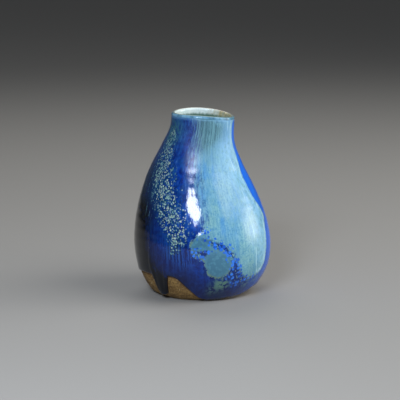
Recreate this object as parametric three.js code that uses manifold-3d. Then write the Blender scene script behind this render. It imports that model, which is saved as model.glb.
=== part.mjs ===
// A hand-thrown stoneware bud vase: a pear-shaped clay body, an outer coat of cobalt glaze that stops
// short of the foot in runs, a second pour of turquoise glaze over its front, and a pale liner glaze
// that fills the inside and rolls over the lip. Glass and clay are separate solids, a hair apart.
// Millimetres, +Z up. The origin is on the table under the middle of the belly, and the front is -Y.
import * as THREE from "three";
import { mergeVertices } from "three/addons/utils/BufferGeometryUtils.js";
import Module from "manifold-3d";

const wasm = await Module();
wasm.setup();

// ---- Driving dimensions ----
const SEGMENTS = 48; // facets round the vase, the same on every piece so that faces lie parallel
const WALL_RINGS = 18;
const COAT = 0.5; // thickness of the cobalt and liner glazes
const POUR = 0.25; // thickness of the turquoise glaze, which lies over the cobalt
const GAP = 0.05; // between one piece and the next

const LIP_Z = 89; // centre of the round lip
const LIP_RADIUS = 1;
const NECK_RADIUS = 15.5; // outside, at the lip
const LIP_STEPS = 5;

const FOOT_OUTER = 20.8; // the flat ring that the vase stands on
const FOOT_INNER = 16;
const FOOT_RECESS = 1.2;

// The glazed outside from heel to lip, as (radius, height).
const OUTSIDE = new THREE.SplineCurve(
  [
    [22, 0],
    [24.4, 1],
    [27.4, 4],
    [30.6, 9],
    [33.2, 16],
    [34.2, 25],
    [33.2, 35],
    [30.7, 45],
    [27, 55],
    [22.4, 65],
    [18.3, 74],
    [15.9, 82],
    [NECK_RADIUS, LIP_Z],
  ].map(([r, z]) => new THREE.Vector2(r, z)),
);
// The glazed inside from the middle of the floor to the lip.
const INSIDE = new THREE.SplineCurve(
  [
    [0, 6],
    [12, 6.3],
    [21, 8],
    [27.2, 13],
    [30.4, 20],
    [30.6, 30],
    [28.7, 40],
    [25.4, 50],
    [21, 60],
    [16.6, 70],
    [13.4, 80],
    [NECK_RADIUS - 2 * LIP_RADIUS, LIP_Z],
  ].map(([r, z]) => new THREE.Vector2(r, z)),
);

// The vase is thrown by hand: its axis wanders with height, and its rim is neither level nor flat.
const LEAN = new THREE.CatmullRomCurve3(
  [
    [-1.2, 0, 0],
    [0, 0, 10],
    [0, 0, 25],
    [-0.9, 0.5, 40],
    [-1.9, 1.1, 52],
    [-2.6, 1.3, 63],
    [-1.9, 0.4, 74],
    [-0.1, -0.9, 84],
    [0.3, -1.2, 90],
  ].map(([x, y, z]) => new THREE.Vector3(x, y, z)),
);
const RIM_SLOPE = 0.067; // the rim falls towards +X
const RIM_WAVE = 0.5; // and rises at the front and the back
const RIM_FROM = 66; // height where the body starts to follow the rim

// Where the cobalt glaze stops, as (degrees from the front, height), and the runs that fall below that.
const GLAZE_LINE = [
  [-180, 6],
  [-130, 7.5],
  [-90, 11],
  [-60, 13],
  [-25, 12.8],
  [-12, 7.3],
  [0, 1.8],
  [30, 1.4],
  [62, 4.6],
  [95, 2.4],
  [140, 4.5],
];
const RUNS = [
  { at: -41.4, halfWidth: 8, depth: 10 },
  { at: -118, halfWidth: 8, depth: 5 },
  { at: 158, halfWidth: 9, depth: 3 },
];

// Outline of the turquoise pour as seen from the front, as (x, height): from the lip down its right
// edge, round the three lobes where it stopped running, and up its left edge. It passes over the lip.
const POUR_OUTLINE = new THREE.SplineCurve(
  [
    [-3, 94],
    [13.6, 94],
    [14, 82],
    [17.9, 68],
    [20.6, 58],
    [28.6, 43],
    [31, 32],
    [30.6, 20],
    [27, 13],
    [21, 12],
    [15, 19],
    [11, 14.5],
    [5, 14.5],
    [1.6, 22],
    [-4.6, 27],
    [-3, 33.5],
    [0.2, 41],
    [-3, 60],
    [-4.8, 75],
    [-3, 94],
  ].map(([x, z]) => new THREE.Vector2(x, z)),
);

// ---- Shaping ----
const leanPoints = LEAN.getPoints(80);

// How far the axis has wandered, at a height.
function leanAt(z) {
  const above = leanPoints.findIndex((p) => p.z >= z);
  if (above <= 0) return leanPoints.at(above);
  const [a, b] = [leanPoints[above - 1], leanPoints[above]];
  return a.clone().lerp(b, (z - a.z) / (b.z - a.z));
}

// Moves every vertex of a round shape to where the potter's hands left it.
function shapeByHand(geometry) {
  const p = geometry.getAttribute("position");
  for (let i = 0; i < p.count; i++) {
    const [x, y, z] = [p.getX(i), p.getY(i), p.getZ(i)];
    const followsRim = THREE.MathUtils.smoothstep(z, RIM_FROM, LIP_Z);
    const wave = RIM_WAVE * Math.cos(2 * Math.atan2(y, x));
    const lean = leanAt(z);
    p.setXYZ(i, x + lean.x, y + lean.y, z - (RIM_SLOPE * x + wave) * followsRim);
  }
  return geometry;
}

// The points moved sideways by a distance, to the right of the way they run.
function beside(points, distance) {
  return points.map((p, i) => {
    const before = points[Math.max(i - 1, 0)];
    const after = points[Math.min(i + 1, points.length - 1)];
    const along = after.clone().sub(before).normalize();
    return new THREE.Vector2(p.x + along.y * distance, p.y - along.x * distance);
  });
}

// The lip's half circle, from the outside over the top to the inside.
function lipArc(radius) {
  const middle = NECK_RADIUS - LIP_RADIUS;
  return Array.from({ length: LIP_STEPS + 1 }, (_, i) => {
    const angle = (Math.PI * i) / LIP_STEPS;
    return new THREE.Vector2(middle + radius * Math.cos(angle), LIP_Z + radius * Math.sin(angle));
  });
}

// A profile spun round the Z axis.
function spun(profile) {
  return new THREE.LatheGeometry(profile, SEGMENTS).rotateX(Math.PI / 2);
}

const outside = OUTSIDE.getSpacedPoints(WALL_RINGS);
const inside = INSIDE.getSpacedPoints(WALL_RINGS);

// ---- Solids ----
function solid(geometry) {
  const bare = geometry.clone();
  bare.deleteAttribute("normal");
  bare.deleteAttribute("uv");
  const merged = mergeVertices(bare, 1e-4);
  const made = new wasm.Manifold(
    new wasm.Mesh({
      numProp: 3,
      vertProperties: new Float32Array(merged.getAttribute("position").array),
      triVerts: new Uint32Array(merged.index.array),
    }),
  );
  return made;
}

function geometryOf(manifold) {
  const mesh = manifold.getMesh();
  return new THREE.BufferGeometry()
    .setAttribute("position", new THREE.BufferAttribute(mesh.vertProperties, 3))
    .setIndex(new THREE.BufferAttribute(mesh.triVerts, 1));
}

function clayBody() {
  const skin = COAT + GAP;
  const foot = [
    [0, FOOT_RECESS],
    [FOOT_INNER - FOOT_RECESS, FOOT_RECESS],
    [FOOT_INNER, 0],
    [FOOT_OUTER, 0],
  ].map(([r, z]) => new THREE.Vector2(r, z));
  const outerWall = beside(outside, -skin).slice(1, -1);
  const innerWall = beside(inside, skin).slice(1, -1).reverse();
  const floor = new THREE.Vector2(0, inside[0].y - skin);
  return shapeByHand(spun([...foot, ...outerWall, ...lipArc(LIP_RADIUS - skin), ...innerWall, floor]));
}

function linerGlaze() {
  const free = [...inside, ...lipArc(LIP_RADIUS).reverse().slice(1)];
  const inner = beside(inside, COAT).slice(1, -1);
  const underside = [new THREE.Vector2(0, inside[0].y - COAT), ...inner, ...lipArc(LIP_RADIUS - COAT).reverse()];
  return shapeByHand(spun([...underside, ...free.reverse()]));
}

// Height of the lower edge of the cobalt glaze at an angle from the front.
function glazeEdge(degrees) {
  const [first, last] = [GLAZE_LINE[0], GLAZE_LINE.at(-1)];
  const around = [[last[0] - 360, last[1]], ...GLAZE_LINE, [first[0] + 360, first[1]]];
  const i = around.findIndex(([at]) => at >= degrees);
  const [a, b] = [around[i - 1], around[i]];
  const plain = THREE.MathUtils.lerp(a[1], b[1], THREE.MathUtils.smoothstep(degrees, a[0], b[0]));
  const fall = RUNS.map(({ at, halfWidth, depth }) => {
    const away = (((degrees - at + 540) % 360) - 180) / halfWidth;
    return depth * Math.exp(-(away ** 2));
  });
  return plain - fall.reduce((sum, one) => sum + one, 0);
}

// Everything below the cobalt glaze: a thick ring whose top follows the glaze's edge.
function belowGlaze() {
  const [inner, outer, bottom, top] = [12, 42, -5, 1];
  const profile = [
    [inner, bottom],
    [outer, bottom],
    [outer, top],
    [inner, top],
    [inner, bottom],
  ].map(([r, z]) => new THREE.Vector2(r, z));
  const ring = new THREE.LatheGeometry(profile, 2 * SEGMENTS).rotateX(Math.PI / 2);
  const p = ring.getAttribute("position");
  for (let i = 0; i < p.count; i++) {
    if (p.getZ(i) < 0) continue;
    const fromFront = THREE.MathUtils.radToDeg(Math.atan2(p.getX(i), -p.getY(i)));
    p.setZ(i, glazeEdge(fromFront));
  }
  return ring;
}

function cobaltGlaze() {
  const free = outside.slice(1, -1);
  const back = beside(outside, -COAT).slice(1, -1).reverse();
  const topEdge = [new THREE.Vector2(NECK_RADIUS, LIP_Z - GAP), new THREE.Vector2(NECK_RADIUS - COAT, LIP_Z - GAP)];
  const shell = shapeByHand(spun([...free, ...topEdge, ...back, free[0]]));
  return geometryOf(solid(shell).subtract(solid(belowGlaze())));
}

function turquoiseGlaze() {
  const [under, over] = [GAP, GAP + POUR].map((distance) => beside(outside, distance).slice(1));
  const shell = [...over, ...under.reverse(), over[0]];
  const front = new THREE.ExtrudeGeometry(new THREE.Shape(POUR_OUTLINE.getSpacedPoints(60)), {
    depth: 50,
    bevelEnabled: false,
  });
  front.rotateX(Math.PI / 2);
  return geometryOf(solid(shapeByHand(spun(shell))).intersect(solid(front)));
}

// ---- Materials ----
const stoneware = new THREE.MeshStandardMaterial({ color: 0xb08a50, roughness: 0.85, metalness: 0 });
const cobalt = new THREE.MeshStandardMaterial({ color: 0x153a86, roughness: 0.12, metalness: 0 });
const turquoise = new THREE.MeshStandardMaterial({ color: 0x7fb4c4, roughness: 0.18, metalness: 0 });
const celadon = new THREE.MeshStandardMaterial({ color: 0xc4d4c8, roughness: 0.15, metalness: 0 });

function named(name, geometry, material) {
  const mesh = new THREE.Mesh(geometry, material);
  mesh.name = name;
  return mesh;
}

const vase = new THREE.Group();
vase.add(
  named("clay_body", clayBody(), stoneware),
  named("cobalt_glaze_coat", cobaltGlaze(), cobalt),
  named("turquoise_glaze_pour", turquoiseGlaze(), turquoise),
  named("liner_glaze", linerGlaze(), celadon),
);

export default vase;
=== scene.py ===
# %% [markdown]
# # A stoneware bud vase in three glazes
#
# The vase is a pear of thrown clay, a hand's breadth tall. The potter dipped it in cobalt glaze,
# poured a paler turquoise over one side, and filled and emptied it with a celadon that also covers
# the lip. In the kiln the glazes melted, ran down and froze into one another.
#
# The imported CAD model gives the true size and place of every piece. Each of its four solids is
# replaced here by a finer surface of the same size, so the first step is to load that frame and
# keep its box.

# %% Load the frame
import math
from functools import partial

import bpy
import numpy as np
from mathutils import Matrix, Vector


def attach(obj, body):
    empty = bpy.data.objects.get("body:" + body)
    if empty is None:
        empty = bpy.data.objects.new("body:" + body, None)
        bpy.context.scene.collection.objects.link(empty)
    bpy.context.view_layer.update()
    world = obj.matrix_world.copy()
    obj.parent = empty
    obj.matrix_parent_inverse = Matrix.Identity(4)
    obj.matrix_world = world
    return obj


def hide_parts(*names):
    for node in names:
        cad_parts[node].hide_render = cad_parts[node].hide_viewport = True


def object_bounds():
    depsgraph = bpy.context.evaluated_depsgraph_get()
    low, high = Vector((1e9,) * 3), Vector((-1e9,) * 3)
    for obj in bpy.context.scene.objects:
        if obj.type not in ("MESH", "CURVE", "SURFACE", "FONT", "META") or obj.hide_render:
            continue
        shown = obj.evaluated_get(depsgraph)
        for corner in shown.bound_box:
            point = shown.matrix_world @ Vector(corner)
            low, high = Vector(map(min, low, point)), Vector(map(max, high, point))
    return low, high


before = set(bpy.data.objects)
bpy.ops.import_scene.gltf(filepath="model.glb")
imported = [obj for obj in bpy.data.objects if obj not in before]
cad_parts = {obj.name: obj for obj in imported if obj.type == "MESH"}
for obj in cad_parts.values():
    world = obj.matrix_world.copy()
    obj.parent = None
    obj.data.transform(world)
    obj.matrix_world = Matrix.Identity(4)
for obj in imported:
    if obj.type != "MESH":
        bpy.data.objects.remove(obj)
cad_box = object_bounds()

HEIGHT = 90.7  # of the whole vase, in millimetres
MM = (cad_box[1].z - cad_box[0].z) / HEIGHT  # one millimetre, taken from the frame
print("CAD box, mm:", [round((high - low) / MM, 1) for low, high in zip(*cad_box)])

# %% [markdown]
# ## The thrown form
#
# A potter's wheel makes a surface of revolution, so the outside is one curve, drawn through a few
# points and carried round the axis. The same curve serves the clay and the two glazes on it, each
# lifted off it by its own thickness. The curve is walked by its own length, not by height, because
# near the heel it runs almost level.

# %% The outside and inside curves
LIP_Z = 89.0
LIP_RADIUS = 1.0
NECK_RADIUS = 15.5
BELLY = 34.0  # radius at the widest
GLAZE = 0.55  # from the clay to the top of an ordinary coat

OUTSIDE = [(22, 0), (24.4, 1), (27.4, 4), (30.6, 9), (33.2, 16), (34.2, 25), (33.2, 35), (30.7, 45),
           (27, 55), (22.4, 65), (18.3, 74), (15.9, 82), (NECK_RADIUS, LIP_Z)]
INSIDE = [(0, 6), (12, 6.3), (21, 8), (27.2, 13), (30.4, 20), (30.6, 30), (28.7, 40), (25.4, 50),
          (21, 60), (16.6, 70), (13.4, 80), (NECK_RADIUS - 2 * LIP_RADIUS, LIP_Z)]


def smooth(knots, values, at):
    """A smooth curve through the knots: between two knots a cubic that keeps the value at both ends
    and, at each, the mean slope of the two neighbouring chords."""
    knots, values, at = (np.asarray(a, float) for a in (knots, values, at))
    slopes = np.gradient(values, knots)
    i = np.clip(np.searchsorted(knots, at) - 1, 0, len(knots) - 2)
    width = knots[i + 1] - knots[i]
    t = np.clip((at - knots[i]) / width, 0, 1)
    return (values[i] * (1 + 2 * t) * (1 - t) ** 2 + values[i + 1] * (3 - 2 * t) * t**2
            + width * (slopes[i] * t * (1 - t) ** 2 - slopes[i + 1] * (1 - t) * t**2))


def walked(points, samples=4000):
    """A curve through the points as a table: distance walked, radius, height and unit normal.
    The normal is the direction of travel turned a quarter turn clockwise."""
    points = np.array(points, float)
    chords = np.hypot(*np.diff(points, axis=0).T)
    knots = np.concatenate([[0], np.cumsum(chords)])
    t = np.linspace(0, knots[-1], samples)
    r, z = smooth(knots, points[:, 0], t), smooth(knots, points[:, 1], t)
    s = np.concatenate([[0], np.cumsum(np.hypot(np.diff(r), np.diff(z)))])
    length = np.hypot(np.gradient(r), np.gradient(z))
    return {"s": s, "r": r, "z": z, "nr": np.gradient(z) / length, "nz": -np.gradient(r) / length}


def look_up(curve, column, s):
    """One column of a walked curve, read at the distances s."""
    return np.interp(s, curve["s"], curve[column])


outside, inside = walked(OUTSIDE), walked(INSIDE)
LIP_S = outside["s"][-1]
print(f"the outside is {LIP_S:.1f} mm long from heel to lip, the inside {inside['s'][-1]:.1f} mm")

# %% [markdown]
# Nothing thrown by hand is quite round. The axis of this vase wanders with height, its rim falls
# to one side, the fingers left soft rings that climb in a spiral, and the drying clay went
# slightly oval. All pieces pass through one function that does this to them, so that they stay
# parallel to each other.

# %% From the round form to the thrown one
LEAN = [(0, -1.2, 0), (10, 0, 0), (25, 0, 0), (40, -0.9, 0.5), (52, -1.9, 1.1), (63, -2.6, 1.3),
        (74, -1.9, 0.4), (84, -0.1, -0.9), (90, 0.3, -1.2)]  # height, how far off in x, and in y
RIM_SLOPE, RIM_WAVE, RIM_FROM = 0.067, 0.5, 66.0  # fall per mm of x, wave, height where both begin
RING_PITCH, RING_HEIGHT = 4.6, 0.022
OVAL = 0.10


def step(low, high, x):
    """0 below low, 1 above high, and an S-curve between them."""
    t = np.clip((x - low) / (high - low), 0, 1)
    return t * t * (3 - 2 * t)


def thrown(phi, r, z):
    """Radius and height at an angle (radians from the front, -Y, towards +X) become points in
    metres. The radius gains a sine of height plus angle, for the rings, and a sine of twice the
    angle. Then x and y shift by the lean, and near the top z sinks by the rim's slope and wave."""
    on_belly = step(6, 20, z) * step(LIP_Z, LIP_Z - 8, z)
    turns = z / RING_PITCH + phi / (2 * np.pi)
    rings = RING_HEIGHT * np.sin(2 * np.pi * turns) * (0.6 + 0.4 * np.sin(z / 9 + 2 * phi))
    r = r + (rings + OVAL * np.sin(2 * phi + 0.7) * np.sin(np.pi * z / 90)) * on_belly
    x, y = r * np.sin(phi), -r * np.cos(phi)
    heights, lean_x, lean_y = zip(*LEAN)
    off_x, off_y = (smooth(heights, lean, np.clip(z, 0, 90)) for lean in (lean_x, lean_y))
    wave = RIM_WAVE * -np.cos(2 * phi)
    sunk = (RIM_SLOPE * x + wave) * step(RIM_FROM, LIP_Z, z)
    return np.stack([x + off_x, y + off_y, z - sunk], axis=-1) * MM


# %% [markdown]
# ## A mesh from a grid
#
# Every piece below is a grid of points: columns go round the vase and rows walk along a profile.
# One helper turns such a grid into a closed mesh. It joins the last column to the first, and
# closes the ends either on the axis, as in a bowl, or on each other, as in a ring. Blender takes
# whole arrays through foreach_set, so no loop runs over the points.

# %% The grid helper
COLUMNS = 432
around = np.linspace(-np.pi, np.pi, COLUMNS, endpoint=False)


def mesh_object(name, points, quads, triangles=()):
    """A smooth-shaded object from points (n, 3), four-cornered and three-cornered faces."""
    quads, triangles = np.asarray(quads, np.int32), np.asarray(triangles, np.int32).reshape(-1, 3)
    mesh = bpy.data.meshes.new(name)
    mesh.vertices.add(len(points))
    mesh.vertices.foreach_set("co", np.asarray(points, np.float32).ravel())
    corners = np.concatenate([quads.ravel(), triangles.ravel()])
    sizes = np.concatenate([np.full(len(quads), 4), np.full(len(triangles), 3)])
    mesh.loops.add(len(corners))
    mesh.loops.foreach_set("vertex_index", corners)
    mesh.polygons.add(len(sizes))
    mesh.polygons.foreach_set("loop_start", (np.cumsum(sizes) - sizes).astype(np.int32))
    mesh.polygons.foreach_set("loop_total", sizes.astype(np.int32))
    mesh.polygons.foreach_set("use_smooth", np.ones(len(sizes), bool))
    mesh.update(calc_edges=True)
    mesh.validate()
    made = bpy.data.objects.new(name, mesh)
    bpy.context.scene.collection.objects.link(made)
    return made


def spun(name, grid, on_axis):
    """A closed mesh from a grid (rows, columns, 3). on_axis closes the first and last rows to
    single points; otherwise the last row joins the first. Rows run so that faces look outwards."""
    rows, columns = grid.shape[:2]
    index = np.arange(rows * columns).reshape(rows, columns)
    if not on_axis:
        index = np.vstack([index, index[:1]])
    index = np.hstack([index, index[:, :1]])
    a, b, c, d = index[:-1, :-1], index[:-1, 1:], index[1:, 1:], index[1:, :-1]
    quads = np.stack([a, b, c, d], axis=-1).reshape(-1, 4)
    points = grid.reshape(-1, 3)
    fans = []
    if on_axis:
        first, last = len(points), len(points) + 1
        points = np.vstack([points, grid[0].mean(axis=0), grid[-1].mean(axis=0)])
        fans = np.vstack([
            np.stack([index[0, 1:], index[0, :-1], np.full(columns, first)], axis=-1),
            np.stack([index[-1, :-1], index[-1, 1:], np.full(columns, last)], axis=-1)])
    return mesh_object(name, points, quads, fans)


def set_field(piece, name, values):
    """Stores one number, or one vector, per point, for a material to read. The two poles of a piece
    that closes on the axis take the mean of the row beside them."""
    vector = values.shape[-1] == 3
    flat = values.reshape(-1, 3 if vector else 1)
    if len(piece.data.vertices) > len(flat):
        poles = [values[end].reshape(-1, flat.shape[1]).mean(axis=0) for end in (0, -1)]
        flat = np.vstack([flat, poles])
    kind, key = ("FLOAT_VECTOR", "vector") if vector else ("FLOAT", "value")
    made = piece.data.attributes.new(name, kind, "POINT")
    made.data.foreach_set(key, flat.astype(np.float32).ravel())


def set_wrap(piece, phi, z):
    """Stores where each point lies on a plain cylinder as wide as the belly, in millimetres. A
    pattern read from it follows the wall and has no seam at the back."""
    set_field(piece, "wrap", np.stack([BELLY * np.sin(phi), -BELLY * np.cos(phi), z], axis=-1))


# %% [markdown]
# ## Where the cobalt glaze stops
#
# The potter wiped the foot and dipped the vase by hand, so the glaze ends in an uneven line, and
# the heat pulled some of it into runs. The line is a smooth curve of height against angle. Each
# run takes a rounded bite out of it, wide at the shoulder and blunt at the tip.

# %% The lower edge of the cobalt
GLAZE_LINE = [  # angle, height
    (-180, 6), (-150, 5), (-122, 8), (-98, 9.8), (-80, 11.4), (-66, 12.6), (-53, 13), (-41, 13.4),
    (-29, 13.4), (-25, 13), (-21.8, 11.9), (-18, 9.9), (-13.2, 7.4), (-8, 4.8), (-2.2, 2.3),
    (4, 1.3), (30, 1.3), (50, 1.9), (66, 4.6), (82, 3.6), (100, 2.2), (128, 5.5), (152, 4)]
RUNS = [(-41.4, 7.7, 10.4), (-109, 5.5, 5.2), (-155, 7.5, 3.4), (112, 5, 1.2),
        (170, 5.5, 3.6)]  # angle, half width in degrees, depth in mm
LOWEST = 0.9


def apart(phi_degrees, centre):
    """Degrees from a centre, the short way round."""
    return (phi_degrees - centre + 180) % 360 - 180


def glaze_line(phi_degrees):
    """Height of the glaze's lower edge: the smooth line less, for each run, its depth times
    exp(-x^6), where x is the angle from the run's middle over its half width."""
    angles, heights = np.array(GLAZE_LINE, float).T
    angles = np.concatenate([angles - 360, angles, angles + 360])
    line = smooth(angles, np.tile(heights, 3), phi_degrees)
    for centre, half_width, depth in RUNS:
        line = line - depth * np.exp(-((apart(phi_degrees, centre) / half_width) ** 6))
    return np.maximum(line, LOWEST)


around_degrees = np.degrees(around)
line_z = glaze_line(around_degrees)
line_s = np.interp(line_z, outside["z"], outside["s"])
print(f"the glaze stops between {line_z.min():.1f} and {line_z.max():.1f} mm above the table")

# %% [markdown]
# ## Bare clay
#
# The body is stoneware: it shows at the foot, where the glaze stops, and underneath. After
# throwing, the foot was turned on the wheel with a tool, which leaves fine grooves on the heel and
# a shallow recess underneath. One profile goes from the middle of the underside, round the foot
# ring, up under the glaze, over the lip and down the inside, so that the clay is one closed wall.
# The rows are close together only where clay can be seen.

# %% The clay body
FOOT_OUTER, FOOT_INNER, FOOT_RECESS = 20.8, 16.0, 1.2
TOOL_PITCH = 1.7  # from one tool mark underneath to the next
HEEL_GROOVES = [(1.15, 0.035), (0.47, 0.02)]  # from groove to groove, and how deep
CENTRE = 0.35  # radius of the innermost row, which a fan of faces closes


def arc(centre_r, centre_z, radius, start, end, steps):
    """Points on a circle between two angles in degrees, counted from +r towards +z."""
    a = np.radians(np.linspace(start, end, steps))
    return np.stack([centre_r + radius * np.cos(a), centre_z + radius * np.sin(a)], axis=-1)


def beside(curve, s, distance):
    """Points at distances s along a curve, moved sideways along its normal."""
    return np.stack([look_up(curve, "r", s) + distance * look_up(curve, "nr", s),
                     look_up(curve, "z", s) + distance * look_up(curve, "nz", s)], axis=-1)


def turned_underside():
    """From the axis outwards: a recess with tool marks, a rounded step, then the flat ring."""
    r = np.linspace(CENTRE, FOOT_INNER - 1.4, 52)
    marks = 0.05 * np.sin(2 * np.pi * r / TOOL_PITCH) + 0.10 * np.cos(r / 6)
    recess = np.stack([r, FOOT_RECESS - 0.08 + marks], axis=-1)
    edge = np.array([(FOOT_INNER - 1.0, 1.02), (FOOT_INNER - 0.6, 0.66), (FOOT_INNER - 0.25, 0.28),
                     (FOOT_INNER, 0.08), (FOOT_INNER + 0.3, 0.0)])
    ring = np.stack([np.linspace(FOOT_INNER + 0.8, FOOT_OUTER - 0.4, 9), np.zeros(9)], axis=-1)
    return np.vstack([recess, edge, ring])


heel_s = np.concatenate([np.arange(0.8, 20, 0.27), np.arange(20.5, LIP_S - 0.5, 2.4)])
heel = beside(outside, heel_s, -GLAZE)
tooled = sum(deep * np.sin(2 * np.pi * heel_s / pitch) for pitch, deep in HEEL_GROOVES)
heel[:, 0] += tooled * step(1.5, 4, heel_s) * step(20, 16, heel_s)
rounding = np.array([(FOOT_OUTER, 0.02), (FOOT_OUTER + 0.5, 0.12), (FOOT_OUTER + 1.0, 0.34)])
lip = arc(NECK_RADIUS - LIP_RADIUS, LIP_Z, LIP_RADIUS - GLAZE, 0, 180, 9)
bore = beside(inside, np.linspace(inside["s"][-1] - 1, 1.0, 44), GLAZE)
clay_profile = np.vstack([turned_underside(), rounding, heel, lip, bore])
steps = np.hypot(*np.diff(clay_profile, axis=0).T)
clay_s = np.concatenate([[0], np.cumsum(steps)])
clay_s += heel_s[0] - clay_s[len(clay_profile) - len(bore) - len(lip) - len(heel)]

clay_r, clay_up = clay_profile[:, :1], clay_profile[:, 1:]
phi_grid = around + 0 * clay_r
spiral = 0.03 * np.sin(phi_grid - 2 * np.pi * clay_r / TOOL_PITCH)
clay_z = clay_up + spiral * step(FOOT_INNER, FOOT_INNER - 3, clay_r) * (clay_up < 3)
clay_grid = thrown(phi_grid, clay_r + 0 * phi_grid, clay_z)
clay = spun("clay_body_turned", clay_grid, on_axis=True)
set_wrap(clay, phi_grid, clay_z)
set_field(clay, "below_glaze", line_s - clay_s[:, None])
on_ring = step(FOOT_INNER - 0.6, FOOT_INNER + 0.4, clay_r) * step(0.5, 0.1, clay_up)
set_field(clay, "foot_ring", on_ring + 0 * phi_grid)
print(f"clay: {len(clay.data.polygons)} faces")

# %% [markdown]
# ## The cobalt coat
#
# Molten glaze has surface tension, so it doesn't stop in a step: it ends in a rolled bead, fatter
# than the coat above it, and a run carries a drop at its tip. The coat is a ring of its own,
# closed over its back. Its rows start on the uneven edge itself and spread up to the lip, closest
# at the bead. The thickness at a point depends on how far it is from the edge.

# %% Thickness of the coat
BEAD_WIDTH, BEAD_EXTRA, BEAD_FADE = 0.95, 0.28, 3.2
BEAD_ROWS, COAT_ROWS = 9, 167  # rows in the bead and above it
COAT_SPREAD = 1.25  # 1 would space the rows above the bead evenly; more closes them up at the bead
BELOW_LIP = 0.15  # where the coat stops, under the liner


def coat_lift(phi_degrees, from_edge, slant):
    """Height of the coat's surface over the ordinary one. A quarter ellipse rises from the clay at
    the edge, a bead stands above it and dies away upwards, and each run is a long drop, a bell
    across its width. The distance from the edge is the climb times the cosine of its slant."""
    d = from_edge * slant
    rise = np.sqrt(1 - (1 - np.clip(d / BEAD_WIDTH, 0, 1)) ** 2)
    bead = BEAD_EXTRA * np.exp(-((np.maximum(d - BEAD_WIDTH, 0) / BEAD_FADE) ** 2))
    drops = sum(0.075 * depth * np.exp(-((apart(phi_degrees, centre) / (0.8 * half)) ** 2))
                * np.exp(-((np.maximum(from_edge - 0.45 * depth, 0) / (0.7 * depth)) ** 2))
                for centre, half, depth in RUNS)
    return -GLAZE + 0.03 + (GLAZE - 0.03 + bead + drops) * rise


edge_slope = np.gradient(np.tile(line_s, 3), around[1] - around[0])[COLUMNS:2 * COLUMNS]
edge_slant = 1 / np.sqrt(1 + (edge_slope / look_up(outside, "r", line_s)) ** 2)

in_bead = BEAD_WIDTH * (1 - np.cos(np.linspace(0, np.pi / 2, BEAD_ROWS)))[:, None]
above_bead = np.linspace(0, 1, COAT_ROWS + 1)[1:, None] ** COAT_SPREAD
top_s = LIP_S - BELOW_LIP
s_front = np.vstack([line_s + in_bead,
                     line_s + BEAD_WIDTH + above_bead * (top_s - line_s - BEAD_WIDTH)])
assert (np.diff(s_front, axis=0) > 0).all()  # every row lies above the one before it
phi_front = np.broadcast_to(around, s_front.shape)
lift = coat_lift(np.degrees(phi_front), s_front - line_s, edge_slant)


def on_wall(phi, s, lift):
    """Points at an angle and a distance up the outside, lifted off it along its normal."""
    return thrown(phi, *np.moveaxis(beside(outside, s, lift), -1, 0))


back_share = np.linspace(1, 0, 30)[:, None]
s_back = line_s + 0.02 + back_share * (top_s - line_s)
phi_back = np.broadcast_to(around, s_back.shape)
coat_grid = np.vstack([on_wall(phi_front, s_front, lift), on_wall(phi_back, s_back, -GLAZE + 0.02)])
coat = spun("cobalt_glaze_coat_fired", coat_grid, on_axis=False)
coat_phi = np.vstack([phi_front, phi_back])
coat_s = np.vstack([s_front, s_back])
print(f"cobalt coat: {len(coat.data.polygons)} faces")

# %% [markdown]
# ## The turquoise pour
#
# The second glaze was poured down the front right. Its left side ran thin and faded into the
# cobalt, its right side stopped in a crisp edge, and below it gathered into lobes. The outline is
# a smooth closed loop of angles and heights on the wall. What everything else needs is the
# distance from it in millimetres, plus inside and minus outside: the cover, the thickness and the
# colours all follow.

# %% Distance from the pour's outline
POUR_LOOP = [  # angle, height
    (-12, 93), (-10, 86), (-7.5, 79), (-4, 71), (-1, 62), (0, 54), (1, 47), (2.5, 41), (1.5, 37),
    (-4.5, 34.6), (-9.6, 30), (-8.2, 26), (-3, 24), (1.2, 23), (2.4, 18.6), (6, 15.2), (13, 13.8),
    (20, 15), (24, 18.4), (27, 21.6), (30.5, 17.6), (37, 12.8), (45, 12), (54, 12.6), (60.5, 14.6),
    (64.5, 20), (67.5, 28), (71, 36), (75, 40), (72.5, 44), (65.5, 50), (63, 59), (67, 66),
    (70, 70.5), (68, 77), (66.5, 84), (66.5, 93)]


def closed_loop(points, samples):
    """A smooth closed curve through the points, sampled evenly in their numbering."""
    points = np.array(points, float)
    count = len(points)
    knots = np.arange(-2, count + 3)
    at = np.linspace(0, count, samples, endpoint=False)
    return np.stack([smooth(knots, points[knots % count, k], at) for k in (0, 1)], axis=-1)


def on_round(phi_degrees, z):
    """The point at an angle and a height on the plain outside, before it was thrown off round."""
    r = np.interp(z, outside["z"], outside["r"])
    a = np.radians(phi_degrees)
    return np.stack([r * np.sin(a), -r * np.cos(a), z], axis=-1)


def from_outline(phi_degrees, z, loop):
    """Signed distance to a closed outline: the least distance to any of its short chords, made
    negative outside. A point is inside if a level line from it crosses the outline an odd number of
    times. The loop here is over the outline's chords, each against all points at once."""
    here = on_round(phi_degrees, z)
    ends = on_round(loop[:, 0], loop[:, 1])
    nearest = np.full(phi_degrees.shape, 1e9)
    within = np.zeros(phi_degrees.shape, bool)
    for k in range(len(loop)):
        a, b = ends[k - 1], ends[k]
        along = b - a
        t = np.clip((here - a) @ along / (along @ along), 0, 1)
        gap = here - a - t[..., None] * along
        nearest = np.minimum(nearest, np.einsum("...i,...i", gap, gap))
        (pa, za), (pb, zb) = loop[k - 1], loop[k]
        if za != zb:
            crossing = pa + (z - za) * (pb - pa) / (zb - za)
            within ^= ((za > z) != (zb > z)) & (phi_degrees < crossing)
    return np.where(within, 1, -1) * np.sqrt(nearest)


pour_loop = closed_loop(POUR_LOOP, samples=260)
SOFT_LEFT, RAGGED, CRISP, ROUNDED = 13.0, 4.6, 1.6, 3.4  # how wide an edge is, in millimetres


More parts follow.
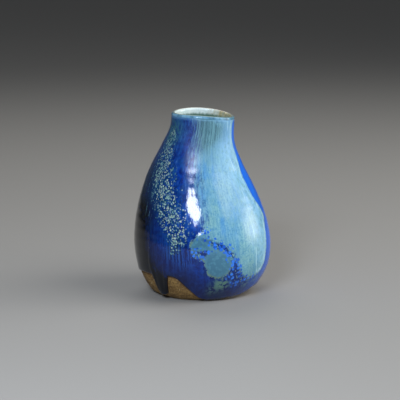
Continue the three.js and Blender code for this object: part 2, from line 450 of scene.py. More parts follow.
def fading(phi_degrees, z):
    """1 on the upper left, where the pour ran thin, and 0 elsewhere."""
    return step(34, 24, phi_degrees) * step(35, 43, z)


def pour_cover(phi_degrees, z, distance, edge):
    """How fully the turquoise covers the cobalt: an S-curve of the distance from the outline, wide
    where the pour fades out on the upper left, and as narrow as edge everywhere else."""
    half = 0.5 * (edge + (SOFT_LEFT - edge) * fading(phi_degrees, z))
    return step(-half, half, distance)


# %% [markdown]
# The pour is a patch that lies on the coat. It starts from a rectangular grid over that part of
# the wall, rises where there is cover and sinks just under the coat where there is none. The cells
# that are wholly sunk are dropped, and a wall joins front and back all round what is left, so that
# the patch is a closed body with a rounded, wandering edge.

# %% The pour's mesh
POUR_THICK, POUR_SUNK, POUR_BACK = 0.22, 0.06, -0.22
CELL = 0.42
POUR_LEFT, POUR_RIGHT = -24, 84  # the grid's sides, in degrees
POUR_FOOT, POUR_TOP = 6, 0.3  # its rows start above the coat's edge at the back, end below the lip


def patch(name, front, back, kept):
    """A closed mesh over the kept cells of a grid: front faces, back faces, and a wall on each edge
    that has a kept cell on one side only. front and back are (rows, columns, 3)."""
    rows, columns = front.shape[:2]
    index = np.arange(rows * columns).reshape(rows, columns)
    a, b, c, d = index[:-1, :-1], index[:-1, 1:], index[1:, 1:], index[1:, :-1]
    under = rows * columns
    faces = [np.stack([a, b, c, d], axis=-1)[kept], np.stack([d, c, b, a], axis=-1)[kept] + under]
    padded = np.pad(kept, 1)
    sides = [(a, b, padded[:-2, 1:-1]), (b, c, padded[1:-1, 2:]),
             (c, d, padded[2:, 1:-1]), (d, a, padded[1:-1, :-2])]
    for start, end, neighbour in sides:
        open_edge = kept & ~neighbour
        p, q = start[open_edge], end[open_edge]
        faces.append(np.stack([q, p, p + under, q + under], axis=-1))
    faces = np.vstack(faces)
    used, faces = np.unique(faces, return_inverse=True)
    points = np.vstack([front.reshape(-1, 3), back.reshape(-1, 3)])[used]
    return mesh_object(name, points, faces.reshape(-1, 4)), used % under


pour_angles = np.radians(np.arange(POUR_LEFT, POUR_RIGHT, math.degrees(CELL / BELLY)))
pour_s = np.arange(line_s[0] + POUR_FOOT, LIP_S - POUR_TOP, CELL)
pour_phi, pour_along = np.meshgrid(pour_angles, pour_s)
pour_z = look_up(outside, "z", pour_along)
pour_degrees = np.degrees(pour_phi)
cover = pour_cover(pour_degrees, pour_z, from_outline(pour_degrees, pour_z, pour_loop), ROUNDED)
fade_at_lip = step(LIP_S - 0.4, LIP_S - 6, pour_along)
pour_lift = -POUR_SUNK + (POUR_THICK * (0.25 + 0.75 * fade_at_lip) + POUR_SUNK) * cover
pour_foot = np.interp(glaze_line(pour_degrees), outside["z"], outside["s"])
under_coat = coat_lift(pour_degrees, pour_along - pour_foot, 1)
pour_front = on_wall(pour_phi, pour_along, pour_lift + under_coat)
pour_back = on_wall(pour_phi, pour_along, POUR_BACK + 0 * under_coat)
corners = cover[:-1, :-1] + cover[1:, :-1] + cover[:-1, 1:] + cover[1:, 1:]
pour, pour_index = patch("turquoise_glaze_pour_fired", pour_front, pour_back, corners > 0)
print(f"turquoise pour: {len(pour.data.polygons)} faces")

# %% [markdown]
# ## The liner
#
# The inside glaze was poured in, swirled and poured out over the lip. It covers the whole inside
# and rolls over the rim, and it hangs down the outside by a millimetre or two, where it runs into
# the outer glazes. It is one closed skin too, from the middle of the floor, up, over the lip and
# back.

# %% The liner's mesh
LINER_LIFT = 0.07


def hang(phi):
    """How far the liner hangs down outside the lip: three slow waves added together."""
    return 0.6 + 0.14 * np.sin(3 * phi + 1) + 0.1 * np.sin(7 * phi) + 0.08 * np.sin(13 * phi + 2)


up_the_wall = np.concatenate([np.linspace(0.4, 0.62, 40), np.linspace(0.625, 1, 70)])
up_the_wall = up_the_wall[:-1] * inside["s"][-1]
inner_s = np.concatenate([np.linspace(1, up_the_wall[0], 20)[:-1], up_the_wall])
wall = beside(inside, inner_s, 0)
roll = arc(NECK_RADIUS - LIP_RADIUS, LIP_Z, LIP_RADIUS + LINER_LIFT, 180, 0, 15)
roll_back = arc(NECK_RADIUS - LIP_RADIUS, LIP_Z, LIP_RADIUS - GLAZE + 0.03, 0, 180, 9)
wall_back = beside(inside, inner_s[::-3], GLAZE - 0.03)


def ring_rows(profile):
    """A profile of (radius, height) carried round all columns, as arrays (rows, columns)."""
    return profile[:, :1] + 0 * around, profile[:, 1:] + 0 * around


apron = np.linspace(0, 1, 12)[1:, None]
apron_lift = LINER_LIFT * (1 - apron**3) - 0.05 * apron**3
apron_z = LIP_Z - apron * hang(around)
wall_r = np.interp(apron_z, outside["z"], outside["r"])
apron_r = wall_r + apron_lift
up_r = np.full((2, COLUMNS), NECK_RADIUS - 0.3)
up_z = np.stack([LIP_Z - 0.9 * hang(around), LIP_Z - 0.2 + 0 * around])
parts = [ring_rows(wall), ring_rows(roll), (apron_r, apron_z), (up_r, up_z),
         ring_rows(roll_back), ring_rows(wall_back)]
liner_r, liner_z = (np.vstack([part[k] for part in parts]) for k in (0, 1))
liner_phi = np.broadcast_to(around, liner_r.shape)
liner_grid = thrown(liner_phi, liner_r, liner_z)[::-1]
liner = spun("liner_glaze_fired", liner_grid, on_axis=True)
set_wrap(liner, liner_phi[::-1], liner_z[::-1])
outwards = step(NECK_RADIUS - 2 * LIP_RADIUS, NECK_RADIUS, liner_r)
set_field(liner, "outwards", (outwards * (liner_z > 80))[::-1])
set_field(liner, "depth", (LIP_Z + LIP_RADIUS - liner_z)[::-1])
print(f"liner: {len(liner.data.polygons)} faces")

# %% [markdown]
# ## Where each colour lies
#
# Glazes don't mix like paint. Where two overlap, one breaks into specks, islands and streaks in
# the other, and that happens in some places more than in others. Those places are soft fields over
# the wall, made of round spots and one band, and stored on the points. Three of the fields paint
# light and shade instead: one darkens the cobalt as painted shade on the left and low down, one
# lightens it as painted light down the right, and one lays a painted sheen on the turquoise at
# the right. The materials add the fine grain.

# %% Fields for the outer glazes
SPECKLE_BAND = [  # height, middle angle, half width
    (24, -26, 5), (30, -22, 12), (35, -22, 18), (42, -26, 24), (50, -34, 29), (60, -44, 30),
    (70, -52, 27), (79, -56, 20), (85, -60, 10)]
SPOTS = {  # angle, height, radius in mm, strength
    "teal": [(-3, 30, 5, 1.3), (13, 20.5, 8, 1.5), (46, 15, 6, 0.35)],
    "combed": [(4, 85, 7, 1.1), (4, 78, 6, 0.9), (26, 83, 7, 0.6), (15, 70, 5, 0.2)],
    "olive": [(-7, 30, 4, 1.2), (-3, 24, 4, 1.1), (4, 15, 4, 1), (13, 12, 5, 1.2), (24, 17, 4, 0.9),
        (30, 18, 5, 0.8), (46, 12, 5, 0.9), (58, 14, 5, 0.8)],
    # Painted sheen: pale blue on the turquoise at the right, where the side window reflects.
    "painted_sheen_right": [(50, 76, 8, 0.6), (56, 60, 8, 0.8), (64, 46, 7, 0.9), (60, 33, 7, 0.6),
        (62, 22, 6, 0.6)],
    "sky": [(46, 82, 10, 1.1), (20, 62, 7, 0.5), (34, 45, 8, 0.6), (2, 52, 6, 0.5),
        (22, 34, 6, 0.3)],
    "islands": [(4, 37, 2.4, 0.55), (1, 33, 2.4, 0.7), (8, 31.5, 2.6, 0.9), (14, 29.5, 2.4, 1),
        (19, 28, 2.4, 1), (24, 25, 2.4, 1.1), (27, 21.5, 2.4, 1.1), (28, 18, 2.6, 1.2),
        (24, 15.5, 2.6, 0.9), (31, 14, 3, 1.2), (31, 10.5, 3, 1), (38, 11.5, 2.6, 0.9),
        (46, 12, 2.4, 0.6), (54, 13, 2.2, 0.5), (-7, 26.8, 2, 1), (-2, 25.6, 2.2, 1.1),
        (3, 26.6, 2, 1.1)],
    "moss": [(15, 10.5, 3.2, 1), (21, 10, 2.6, 0.8), (9, 6.8, 2.2, 0.5), (43, 9, 2.6, 0.6),
        (56, 11, 3, 0.5)],
    "comb": [(-22, 27, 7, 1), (-14, 23, 5, 0.8), (-36, 26, 7, 0.4), (168, 26, 14, 0.4)],
    "veil": [(-66, 84, 9, 0.8), (-56, 80, 6, 0.6), (-74, 42, 12, 0.75), (-88, 58, 14, 0.6),
        (150, 70, 18, 0.6), (-150, 50, 16, 0.45), (120, 34, 12, 0.3), (174, 84, 12, 0.6)],
    # Painted shade on the left, turned from the lights, and low down under the belly.
    "deep": [(-56, 16, 15, 0.9), (-41, 8, 6, 0.8), (-18, 11, 9, 0.7), (12, 4, 9, 0.7),
        (38, 4, 8, 0.45), (62, 5, 8, 0.35), (-80, 30, 17, 0.8), (-86, 52, 15, 0.4),
        (-58, 43, 12, 0.6), (-104, 18, 16, 0.55), (100, 10, 14, 0.4), (160, 12, 16, 0.6),
        (-132, 12, 14, 0.5), (-66, 62, 9, 0.4)],
    # Painted light: lighter cobalt down the right side, where the side lamp falls.
    "painted_light_right": [(78, 50, 12, 0.8), (80, 30, 12, 0.9), (78, 68, 11, 0.85), (76, 84, 9, 0.8),
        (76, 14, 8, 0.5), (-8, 43, 6, 0.25), (104, 56, 14, 0.25), (60, 8, 8, 0.4)],
    "matt": [(-8, 82, 10, 0.4), (-9, 67, 5, 0.3), (30, 80, 13, 1.2), (60, 78, 12, 0.9),
        (-40, 80, 10, 0.45)],
    "satin": [(52, 36, 13, 1.1), (58, 20, 9, 0.7), (40, 52, 9, 0.6)],
}
BACK_BAND = [(20, 168, 3), (34, 165, 14), (52, 172, 22), (66, 168, 16), (80, 160, 7)]


def band(phi_degrees, z, rows):
    """1 in the middle of a band that wanders with height, falling to 0 at its edges."""
    heights, middles, halves = np.array(rows, float).T
    away = apart(phi_degrees, smooth(heights, middles, z)) / smooth(heights, halves, z)
    return step(1, 0, np.abs(away)) * step(heights[0] - 2, heights[0] + 4, z) * step(
        heights[-1] + 3, heights[-1] - 5, z)


def spots(phi_degrees, z, rows):
    """The sum of round bells on the wall: strength times exp(-(distance / radius)^2)."""
    r = np.interp(z, outside["z"], outside["r"])
    total = np.zeros(np.shape(z))
    for angle, height, radius, strength in rows:
        across = r * np.radians(apart(phi_degrees, angle))
        total = total + strength * np.exp(-(across**2 + (z - height) ** 2) / radius**2)
    return total


def set_outer_fields(piece, phi, s, order=None):
    """Stores every field of the outer glazes on a piece, at angles phi and distances s up the
    wall. order picks the points that the piece kept."""
    phi, s = phi.ravel(), s.ravel()
    if order is not None:
        phi, s = phi[order], s[order]
    degrees, z = np.degrees(phi), look_up(outside, "z", s)
    foot = np.interp(glaze_line(degrees), outside["z"], outside["s"])
    set_wrap(piece, phi, z)
    inset = from_outline(degrees, z, pour_loop)
    edge = CRISP + (RAGGED - CRISP) * step(62, 50, degrees) * step(46, 40, z)
    set_field(piece, "cover", pour_cover(degrees, z, inset, edge))
    set_field(piece, "right_edge", inset * step(44, 54, degrees) - 9 * step(54, 44, degrees))
    set_field(piece, "faded", fading(degrees, z))
    set_field(piece, "from_edge", s - foot)
    set_field(piece, "from_lip", LIP_S - s)
    set_field(piece, "speckle", np.maximum(band(degrees, z, SPECKLE_BAND),
                                           0.7 * band(degrees, z, BACK_BAND)))
    for name, rows in SPOTS.items():
        set_field(piece, name, spots(degrees, z, rows))


set_outer_fields(coat, coat_phi, coat_s)
set_outer_fields(pour, pour_phi, pour_along, pour_index)

# %% [markdown]
# ## Colours and nodes
#
# Every colour is written as the sRGB hex that a colour picker shows, and one function turns it
# into the linear numbers that a shader needs. One function adds any node, sets it up and links it.

# %% Colour and node helpers
bpy.context.scene.view_settings.view_transform = "Standard"  # shows a colour as it is written


def hex_colour(code):
    """sRGB hex to linear red, green, blue and alpha: each share below 0.04045 is divided by 12.92,
    and the others are raised to 2.4 after the standard's shift."""
    share = np.array([int(code[i:i + 2], 16) for i in (1, 3, 5)]) / 255
    linear = np.where(share <= 0.04045, share / 12.92, ((share + 0.055) / 1.055) ** 2.4)
    return (*(float(v) for v in linear), 1.0)


def add(tree, kind, sockets=None, **settings):
    """Adds a shader node, sets its properties, and fills its sockets: a node links its first
    output, a socket links itself, a hex string becomes a colour, and anything else is the value."""
    node = tree.nodes.new("ShaderNode" + kind)
    for name, value in settings.items():
        setattr(node, name, value)
    for name, value in (sockets or {}).items():
        if isinstance(value, bpy.types.Node):
            value = value.outputs[0]
        if isinstance(value, bpy.types.NodeSocket):
            tree.links.new(value, node.inputs[name])
        else:
            node.inputs[name].default_value = hex_colour(value) if isinstance(value, str) else value
    return node


def new_material(name):
    """An empty node material, the helper above bound to its tree, and its shader."""
    material = bpy.data.materials.new(name)
    material.use_nodes = True
    tree = material.node_tree
    tree.nodes.clear()
    shader = add(tree, "BsdfPrincipled")
    add(tree, "OutputMaterial", {"Surface": shader})
    return material, partial(add, tree), shader


# %% [markdown]
# The glazes are built up as a potter sees them, one colour over another. That step repeats, so it
# is a function: a recipe becomes a table with a row for each colour. Inputs 1 and 2 of a Map Range
# node are the range it reads, and 3 and 4 the range it gives. A soft one eases in and out. Its
# upper result may be a field, and the mask is then multiplied by that field.

# %% Helpers for a recipe
EVEN, SOFT = {}, {"interpolation_type": "SMOOTHSTEP"}


def layered(node, colour, layers):
    """Lays colours over a colour. A layer is a pattern, the two values of it between which the
    layer goes from nothing to full, how strong full is, the new colour, and how it eases."""
    for pattern, nothing, full, strength, new, ease in layers:
        mask = node("MapRange", {0: pattern, 1: nothing, 2: full, 4: strength}, **ease)
        colour = node("MixRGB", {0: mask, 1: colour, 2: new})
    return colour


def shaken(node, value, shakes):
    """A value pushed up and down by patterns, each of them by at most so much."""
    for pattern, most in shakes:
        value = node("Math", {0: node("MapRange", {0: pattern, 3: -most, 4: most}), 1: value})
    return value


def dress(shader, colour, gloss, bump):
    """Links a shader's colour, roughness and normal."""
    for socket, source in [("Base Color", colour), ("Roughness", gloss), ("Normal", bump)]:
        shader.id_data.links.new(source.outputs[0], shader.inputs[socket])


# %% [markdown]
# ## Melted glaze
#
# A glaze is glass with metal oxides in it, about half a millimetre of it, with a skin that surface
# tension pulled smooth. That gives the eye a sharp reflection with an index near 1.5, very
# slightly rippled, over a colour that changes with depth: streaks where it ran, specks where
# crystals grew. Cobalt coat and turquoise pour share one recipe, so that colours carry on across
# the pour's edge. Each colour layer is a mask and what it lets in, laid over the last.

# %% The outer glaze recipe
# How wide each pattern's patches are, in millimetres: round ones, then ones drawn out in height,
# then one cell of each dotted pattern.
CLOUD, MOTTLE, GRAIN = 6.0, 2.1, 0.8
BROAD, STREAK, HAIR, COMB, FIBRE = 4.5, 1.15, 0.64, 0.62, 1.0
SPECK, FINE_SPECK, ISLAND = 1.3, 0.9, 1.75
GLAZE_INDEX = 1.5  # how strongly glass bends light


def outer_glaze(name):
    """Cobalt blue under turquoise, then speckles, islands and moss, each laid over the last."""
    material, node, shader = new_material(name)
    names = ["cover", "faded", "right_edge", "from_edge", "from_lip", "speckle", *SPOTS]
    field = {each: node("Attribute", attribute_name=each).outputs["Fac"] for each in names}
    wrap = node("Attribute", attribute_name="wrap").outputs["Vector"]
    drawn = node("VectorMath", {0: wrap, 1: (1, 1, 1 / 7)}, operation="MULTIPLY")
    cloud = node("TexNoise", {"Vector": wrap, "Scale": 1 / CLOUD, "Detail": 4.0})
    mottle = node("TexNoise", {"Vector": wrap, "Scale": 1 / MOTTLE, "Detail": 4.0,
                               "Roughness": 0.6})
    grain = node("TexNoise", {"Vector": wrap, "Scale": 1 / GRAIN, "Detail": 2.0,
                              "Roughness": 0.6})
    bent = node("VectorMath", {0: mottle.outputs["Color"], 1: (1, 1, 0), 2: wrap},
                operation="MULTIPLY_ADD")
    combed = node("VectorMath", {0: bent, 1: (1, 1, 1 / 24)}, operation="MULTIPLY")
    streak = node("TexNoise", {"Vector": drawn, "Scale": 1 / STREAK, "Detail": 3.0})
    broad = node("TexNoise", {"Vector": drawn, "Scale": 1 / BROAD, "Detail": 3.0})
    comb = node("TexNoise", {"Vector": combed, "Scale": 1 / COMB, "Detail": 0.6})
    hair = node("TexNoise", {"Vector": drawn, "Scale": 1 / HAIR, "Detail": 2.0})
    fibre = node("TexNoise", {"Vector": combed, "Scale": 1 / FIBRE, "Detail": 3.0,
                              "Roughness": 0.6})

    # Speckles in two sizes: a dot in some cells of a cell pattern, by chance and by the field.
    # Their colour goes by the cells of the finer pattern, the last one made.
    masks = []
    for cell, likely in [(SPECK, 1.2), (FINE_SPECK, 0.9)]:
        dots = node("TexVoronoi", {"Vector": wrap, "Scale": 1 / cell})
        chance = node("SeparateColor", {0: dots.outputs["Color"]})
        size = node("MapRange", {0: chance.outputs[1], 3: 0.3, 4: 0.56})
        heart = node("Math", {0: size, 1: 0.5}, operation="MULTIPLY")
        odds = node("MapRange", {0: chance.outputs[0], 3: 0.05, 4: 0.05 + 1 / likely})
        picked = node("Math", {0: field["speckle"], 1: odds}, operation="GREATER_THAN")
        masks.append(node("MapRange", {0: dots.outputs["Distance"], 1: size, 2: heart, 4: picked}))
    speck = node("Math", {0: masks[0], 1: masks[1]}, operation="MAXIMUM")
    speck_colour = node("MixRGB", {0: chance.outputs[2], 1: "#4f8c94", 2: "#d2e2c4"})
    speck_colour = node("MixRGB", {0: node("MapRange", {0: cloud, 1: 0.42, 2: 0.62, 4: 0.7}),
                                   1: speck_colour, 2: "#7fb0a6"})
    speck_colour = node("MixRGB", {0: node("MapRange", {0: field["speckle"], 1: 0.7, 2: 0.25}),
                                   1: speck_colour, 2: "#3c6f7c"})

    # Cobalt: painted shade darkens it nearly to black on the left and low down, painted light
    # lightens it down the right, it is brighter in fine vertical combing, teal where it ran thin.
    sea = layered(node, "#001f6a", [
        (mottle, 0.35, 0.65, 1, "#043ea0", SOFT),
        (cloud, 0.48, 0.7, 0.5, "#125494", SOFT),
        (streak, 0.5, 0.72, 0.45, "#1653b8", SOFT),
        (comb, 0.46, 0.62, field["comb"], "#1a52a4", SOFT),
        (comb, 0.5, 0.38, field["comb"], "#03205c", SOFT),
        # Painted light: the cobalt lightened down the right, where the side lamp falls.
        (broad, -0.2, 0.55, field["painted_light_right"], "#1a76f4", EVEN),
        (mottle, 0.3, 0.6, field["veil"], "#2a6274", SOFT),
        # Painted shade: the cobalt goes almost black on the left and low down.
        (mottle, -0.1, 0.5, field["deep"], "#010712", EVEN),
        (grain, 0.4, 0.6, field["speckle"], "#0f405e", SOFT),
        (speck, 0, 1, 1, speck_colour, EVEN),
        (mottle, 0.44, 0.56, field["moss"], "#5d8579", SOFT),
    ])

    # Turquoise: milky with a fine mottle, teal in its lobes, combed at the neck, and at the right
    # a pale blue painted sheen where the side window reflects.
    dark_comb = layered(node, "#3a6876", [(fibre, 0.36, 0.62, 1, "#6a9ca8", SOFT)])
    milk = layered(node, "#5c98b4", [
        (grain, 0.32, 0.68, 1, "#82b8c0", SOFT),
        (mottle, 0.44, 0.68, 0.6, "#8cc2c6", SOFT),
        (broad, 0.46, 0.68, 0.75, "#4f96cc", SOFT),
        (cloud, 0.44, 0.64, 0.55, "#82b4b0", SOFT),
        (mottle, 0.25, 0.6, field["sky"], "#5fa0d8", SOFT),
        (hair, 0.5, 0.7, 0.4, "#9cccd0", SOFT),
        (hair, 0.48, 0.34, 0.3, "#4c8cb4", SOFT),
        (grain, 0.46, 0.3, 0.45, "#4a8ab0", SOFT),
        # Painted sheen of the side window: pale blue on the right.
        (mottle, 0.3, 0.6, field["painted_sheen_right"], "#8ec6ea", SOFT),
        (grain, 0.1, 0.4, field["teal"], "#467a92", SOFT),
        (mottle, 0.45, 0.65, field["teal"], "#528aa0", SOFT),
        (mottle, 0.1, 0.5, field["combed"], dark_comb, EVEN),
    ])

    # Where turquoise covers cobalt: the field, pushed about most by streaks where it faded, and by
    # mottle and grain elsewhere. Its rim is olive in places.
    reach = node("MapRange", {0: field["faded"], 3: 0.3, 4: 1.3})
    push = node("MapRange", {0: streak, 3: -0.5, 4: 0.5})
    calm = node("MapRange", {0: field["faded"], 3: 1.0, 4: 0.5})
    ragged = node("Math", {0: push, 1: reach, 2: field["cover"]}, operation="MULTIPLY_ADD")
    for pattern, share in [(mottle, 0.55), (grain, 0.45)]:
        push = node("MapRange", {0: pattern, 3: -share, 4: share})
        ragged = node("Math", {0: push, 1: calm, 2: ragged}, operation="MULTIPLY_ADD")
    bare = node("MapRange", {0: field["faded"], 3: 0.32, 4: 0.08})
    full = node("MapRange", {0: field["faded"], 3: 0.62, 4: 0.88})
    covered = node("MapRange", {0: ragged, 1: bare, 2: full}, **SOFT)
    rim = node("MapRange", {0: mottle, 1: 0.36, 2: 0.56, 4: field["olive"]}, **SOFT)
    rim = node("MapRange", {0: ragged, 1: 0.8, 2: 0.55, 4: rim}, **SOFT)
    rim = node("MapRange", {0: ragged, 1: 0.28, 2: 0.48, 4: rim}, **SOFT)

    # Islands: round cells of bright cobalt in a dark net, by chance and by their field.
    warped = node("VectorMath", {0: mottle.outputs["Color"], 1: (1.6, 1.6, 1.6), 2: wrap},
                  operation="MULTIPLY_ADD")
    pebbles = node("TexVoronoi", {"Vector": warped, "Scale": 1 / ISLAND})
    luck = node("SeparateColor", {0: pebbles.outputs["Color"]})
    odds = node("MapRange", {0: luck.outputs[0], 3: 0.1, 4: 0.62})
    there = node("Math", {0: field["islands"], 1: odds}, operation="GREATER_THAN")
    girth = node("MapRange", {0: luck.outputs[1], 3: 0.4, 4: 0.62})
    heart = node("Math", {0: girth, 1: 0.14}, operation="SUBTRACT")
    island = node("MapRange", {0: pebbles.outputs["Distance"], 1: girth, 2: heart, 4: there},
                  **SOFT)
    core = node("MapRange", {0: field["islands"], 1: 0.5, 2: 1.1}, **SOFT)
    blues = node("MixRGB", {0: luck.outputs[2], 1: "#1a50b6", 2: "#3a88f6"})
    line = node("Math", {0: mottle, 1: 1.6, 2: field["right_edge"]}, operation="MULTIPLY_ADD")
    strand = node("MapRange", {0: streak, 1: 0.4, 2: 0.6, 4: 0.8}, **SOFT)
    inner_side = node("MapRange", {0: line, 1: 4.4, 2: 2.3, 4: strand}, **SOFT)
    lip = shaken(node, field["from_lip"], [(mottle, 0.9)])
    olive = node("MixRGB", {0: grain, 1: "#557a74", 2: "#86a682"})
    colour = layered(node, sea, [
        (covered, 0, 1, 1, milk, EVEN),
        (rim, 0, 1, 1, olive, EVEN),
        (line, 1.3, 2.1, inner_side, "#b9e4ee", SOFT),
        (mottle, 0.38, 0.52, core, "#0e2f70", SOFT),
        (grain, 0.58, 0.66, core, "#86aea0", EVEN),
        (island, 0, 1, 1, blues, EVEN),
        (lip, 2.0, 0.3, 0.5, "#6fa4c8", SOFT),
        (field["from_edge"], 1.4, 0.3, 0.8, "#02061a", SOFT),
    ])

    # A skin that is mirror-smooth on the belly, silkier on specks and turquoise, dull at the neck.
    gloss = node("MapRange", {0: cloud, 1: 0.3, 2: 0.7, 3: 0.05, 4: 0.1})
    for mask, rough in [(speck, 0.2), (covered, 0.12), (field["satin"], 0.3),
                        (field["matt"], 0.55)]:
        gloss = node("MixRGB", {0: mask, 1: gloss, 2: (rough, rough, rough, 1)})
    ripple = node("TexNoise", {"Vector": wrap, "Scale": 1 / 2.4, "Detail": 2.0})
    height = node("Math", {0: ripple, 1: 0.7}, operation="MULTIPLY")
    for bumpy, share in [(speck, 0.5), (streak, 0.14), (grain, 0.14), (island, 0.2), (comb, 0.1)]:
        height = node("Math", {0: bumpy, 1: share, 2: height}, operation="MULTIPLY_ADD")
    bump = node("Bump", {"Height": height, "Distance": 0.06 * MM, "Strength": 1.0})
    dress(shader, colour, gloss, bump)
    shader.inputs["IOR"].default_value = GLAZE_INDEX
    return material


coat.data.materials.append(outer_glaze("cobalt_glaze_melted"))
pour.data.materials.append(outer_glaze("turquoise_glaze_melted"))
print(f"outer glazes: {len(coat.data.materials[0].node_tree.nodes)} nodes each")

# %% [markdown]
# ## Celadon
#
# The liner is a celadon, a clear glaze with a trace of iron: greenish white where it lies thick,
# and brown where it ran thin over the clay, as it does at the crest of the lip. Inside, painted
# shade makes the wall at the right olive, a ring below the lip dark green and the depths greyer.

# %% The liner's material
def celadon_glaze():
    """Pale celadon, brown on the crest where clouds and the right-hand side say that it ran thin,
    and painted shade inside: olive at the right, dark green below the lip, greyer deeper down.
    """
    material, node, shader = new_material("celadon_glaze_melted")
    wrap = node("Attribute", attribute_name="wrap").outputs["Vector"]
    outwards = node("Attribute", attribute_name="outwards").outputs["Fac"]
    depth = node("Attribute", attribute_name="depth").outputs["Fac"]
    drawn = node("VectorMath", {0: wrap, 1: (1, 1, 0.12)}, operation="MULTIPLY")
    clouds = node("TexNoise", {"Vector": wrap, "Scale": 1 / 8, "Detail": 4.0})
    mottle = node("TexNoise", {"Vector": wrap, "Scale": 1 / 2.4, "Detail": 4.0, "Roughness": 0.6})
    runs = node("TexNoise", {"Vector": drawn, "Scale": 1 / 2.2, "Detail": 3.0})
    place = node("SeparateXYZ", {0: wrap})
    right = node("MapRange", {0: place.outputs["X"], 1: -14, 2: 36}, **SOFT)
    back = node("MapRange", {0: place.outputs["Y"], 1: -10, 2: 34}, **SOFT)

    # Inside: pale where it is thick, then painted shade: olive on the right-hand wall, turned from
    # the lights, a dark green ring below the lip, and greyer further down.
    pale = node("MixRGB", {0: runs, 1: "#c6e2dc", 2: "#fafef8"})
    # Painted shade: olive, mottled with cream, for the inner wall at the right, turned from the
    # lights.
    shaded_olive = layered(node, "#7e7848", [(mottle, 0.38, 0.62, 1, "#d4caa2", EVEN)])
    shaded_right = shaken(node, right, [(clouds, 0.55), (mottle, 0.5)])
    inner = layered(node, pale, [
        (shaded_right, 0.25, 0.95, 1, shaded_olive, SOFT),
        # Painted shade: a dark green ring a few millimetres below the lip, where the inside falls
        # dark.
        (shaken(node, depth, [(mottle, 1.0)]), 1.7, 3.5, 0.9, "#30604c", SOFT),
        # Painted shade: greyer green further down the neck, where little light gets in.
        (depth, 6, 18, 0.85, "#a4b8a4", SOFT),
    ])

    # The crest of the lip: cream, broken by brown at the right, and blue green at the front.
    cream = node("MixRGB", {0: mottle, 1: "#c4bea4", 2: "#f2eee0"})
    front = node("MapRange", {0: back, 3: 0.8, 4: 0.0})
    crest = layered(node, cream, [
        (clouds, 0.42, 0.6, right, "#b8927a", SOFT),
        (front, 0, 1, 1, "#54807e", EVEN),
    ])

    # Outside: blue, and near its edge the colour of whichever glaze it runs into there.
    under_right = layered(node, "#56868f", [(place.outputs["X"], 4, 22, 1, "#6aa2c4", SOFT)])
    under = layered(node, "#254f98", [(place.outputs["X"], -12, -5, 1, under_right, SOFT)])
    outer = layered(node, "#44748c", [
        (clouds, 0.4, 0.6, 1, "#74a8c4", EVEN),
        (mottle, 0.5, 0.7, 0.5, "#9cc4cc", EVEN),
        (depth, 1.1, 1.6, 1, under, SOFT),
    ])
    colour = layered(node, inner, [
        (outwards, 0.1, 0.3, 1, crest, EVEN),
        (shaken(node, outwards, [(mottle, 0.14)]), 0.84, 0.97, 1, outer, EVEN),
    ])
    ripple = node("TexNoise", {"Vector": wrap, "Scale": 0.5, "Detail": 2.0})
    bump = node("Bump", {"Height": ripple, "Distance": 0.08 * MM, "Strength": 1.0})
    gloss = node("MapRange", {0: mottle, 1: 0.3, 2: 0.7, 3: 0.08, 4: 0.2})
    dress(shader, colour, gloss, bump)
    shader.inputs["IOR"].default_value = GLAZE_INDEX
    return material


liner.data.materials.append(celadon_glaze())

# %% [markdown]
# ## Bare stoneware
#
# Fired stoneware is matt and a little sandy. Iron in it gives ochre, darker brown in a band just
# below the glaze line, and dark specks among pale grains of grog. The real grit is finer than
# shows at this size, so the specks are drawn about half a millimetre across.

# %% The clay's material
def bare_stoneware():
    """Ochre clouds, dark brown below the glaze line, sandy grain, iron specks and pale grog."""
    material, node, shader = new_material("bare_stoneware_turned")
    place = node("TexCoord").outputs["Object"]
    below = node("Attribute", attribute_name="below_glaze").outputs["Fac"]
    ring = node("Attribute", attribute_name="foot_ring").outputs["Fac"]
    turned = node("VectorMath", {0: place, 1: (1, 1, 6)}, operation="MULTIPLY")
    clouds = node("TexNoise", {"Vector": place, "Scale": 0.2 / MM, "Detail": 5.0})
    sand = node("TexNoise", {"Vector": place, "Scale": 1.5 / MM, "Detail": 4.0, "Roughness": 0.65})
    bands = node("TexNoise", {"Vector": turned, "Scale": 0.16 / MM, "Detail": 3.0})
    specks = []
    for cell, size, likely in [(1.0, 0.3, 0.3), (1.4, 0.26, 0.25)]:
        grains = node("TexVoronoi", {"Vector": place, "Scale": 1 / (cell * MM)})
        chance = node("SeparateColor", {0: grains.outputs["Color"]})
        rare = node("Math", {0: chance.outputs[0], 1: likely}, operation="LESS_THAN")
        specks.append(node("MapRange", {0: grains.outputs["Distance"], 1: size, 2: size / 2,
                                        4: rare}))
    body = layered(node, "#6a4a14", [
        (clouds, 0.38, 0.62, 1, "#947238", EVEN),
        (sand, 0.4, 0.66, 0.6, "#a88c5c", EVEN),
        (sand, 0.5, 0.34, 0.7, "#3e2a10", EVEN),
        (bands, 0.52, 0.66, 0.5, "#4a3312", EVEN),
        # Darker brown in a band just under the glaze line.
        (below, 2.4, 0.1, 0.85, "#47260c", SOFT),
        (sand, 0.2, 0.5, ring, "#b79a68", EVEN),
        (specks[0], 0, 1, 1, "#1e130a", EVEN),
        (specks[1], 0, 1, 1, "#c8b48c", EVEN),
    ])
    height = node("Math", {0: sand, 1: specks[0]}, operation="SUBTRACT")
    bump = node("Bump", {"Height": height, "Distance": 0.16 * MM, "Strength": 1.0})
    gloss = node("MapRange", {0: below, 1: 1.2, 2: 0.0, 3: 0.78, 4: 0.5}, **SOFT)
    dress(shader, body, gloss, bump)
    return material


clay.data.materials.append(bare_stoneware())

# %% [markdown]
# ## Joining the frame
#
# Each fine surface rides on the vase's one body and stands for its CAD solid, which is hidden.

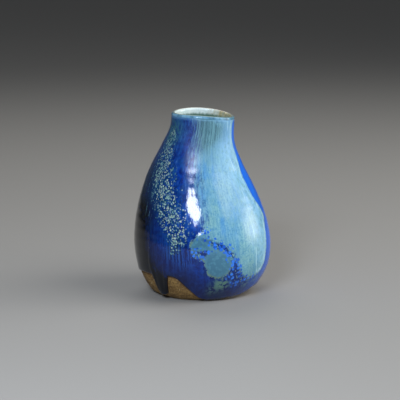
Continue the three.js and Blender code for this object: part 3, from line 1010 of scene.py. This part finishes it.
# %% Ride and replace
for piece, node, slot in [(clay, "clay_body", "stoneware"),
                          (coat, "cobalt_glaze_coat", "cobalt_glaze"),
                          (pour, "turquoise_glaze_pour", "turquoise_glaze"),
                          (liner, "liner_glaze", "celadon_glaze")]:
    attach(piece, "root")
    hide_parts(node)

# %% [markdown]
# ## Floor, light and camera
#
# The vase stands on a plain pale floor that is wide enough to have no edge in view. A dim, even
# grey world stands for the walls of the room, so that the sides turned away from the lights aren't
# black.

# %% The floor
bpy.ops.mesh.primitive_circle_add(vertices=96, radius=5.0, fill_type="NGON")
floor = bpy.context.object
floor.name = "floor"
floor_material, _, floor_shader = new_material("pale_floor")
floor_shader.inputs["Base Color"].default_value = hex_colour("#a5a29c")
floor_shader.inputs["Roughness"].default_value = 0.7
floor.data.materials.append(floor_material)

world = bpy.data.worlds.new("soft_grey_room")
world.use_nodes = True
world.node_tree.nodes["Background"].inputs["Color"].default_value = hex_colour("#b8bcc2")
world.node_tree.nodes["Background"].inputs["Strength"].default_value = 0.17
bpy.context.scene.world = world

# %% [markdown]
# A glossy glaze shows its lights as reflections, so each soft light is there for what it does on
# the glass. A small one at the front left makes the bright streak on the shoulder, and a larger
# and fainter one behind it gives the streak its haze. A window and a patch of sky at the right
# model the belly, and a light behind lifts the far side.

# %% The lights
TARGET = np.array([0, 0, 45.0]) * MM  # half way up the vase


def soft_box(name, azimuth, elevation, distance, width, height, watts, roll=0.0, spread=180.0,
             colour="#ffffff"):
    """A rectangular light that faces the vase from an azimuth (0 in front, 90 at the right) and an
    elevation, both in degrees, turned about its own axis by roll. Its grid narrows it to spread."""
    light = bpy.data.lights.new(name, "AREA")
    light.spread, light.color = math.radians(spread), hex_colour(colour)[:3]
    light.shape, light.size, light.size_y, light.energy = "RECTANGLE", width, height, watts
    lamp = bpy.data.objects.new(name, light)
    a, e = math.radians(azimuth), math.radians(elevation)
    back = np.array([math.sin(a) * math.cos(e), -math.cos(a) * math.cos(e), math.sin(e)])
    lamp.location = TARGET + distance * back
    facing = Vector(-back).to_track_quat("-Z", "Y").to_matrix()
    turn = facing @ Matrix.Rotation(math.radians(roll), 3, "Z")
    lamp.rotation_euler = turn.to_euler()
    bpy.context.scene.collection.objects.link(lamp)


soft_box("streak_window", -14, 28.5, 0.6, 0.12, 0.2, 2.3, roll=56, colour="#e6f0ff")
soft_box("streak_haze", -14, 31, 0.62, 0.28, 0.46, 0.32, roll=50, colour="#a8c8ff")
soft_box("side_window", 96, 10, 1.1, 0.62, 0.34, 1.9, spread=110)
soft_box("side_sky", 72, 42, 1.0, 0.9, 0.6, 2.1, spread=110)
soft_box("back_fill", 195, 55, 1.0, 0.8, 0.6, 1.0, spread=110)

# %% [markdown]
# The camera looks slightly down on the vase through a long lens, from well back, so that the
# outline keeps its true proportions.

# %% The camera
CAMERA_DISTANCE, CAMERA_SIDE, AIM_HEIGHT = 830.0, -1.2, 46.0  # in millimetres of the vase
CAMERA_PITCH, VIEW_ANGLE = 11.0, 13.7  # degrees down, and across the picture
SENSOR = 36.0  # width of the camera's sensor, in millimetres
pitch = math.radians(CAMERA_PITCH)
camera_data = bpy.data.cameras.new("camera")
camera = bpy.data.objects.new("camera", camera_data)
camera_data.sensor_width = SENSOR
camera_data.lens = SENSOR / 2 / math.tan(math.radians(VIEW_ANGLE / 2))
camera.location = (CAMERA_SIDE * MM, -CAMERA_DISTANCE * math.cos(pitch) * MM,
                   (AIM_HEIGHT + CAMERA_DISTANCE * math.sin(pitch)) * MM)
camera.rotation_euler = (math.pi / 2 - pitch, 0, 0)
bpy.context.scene.collection.objects.link(camera)
bpy.context.scene.camera = camera
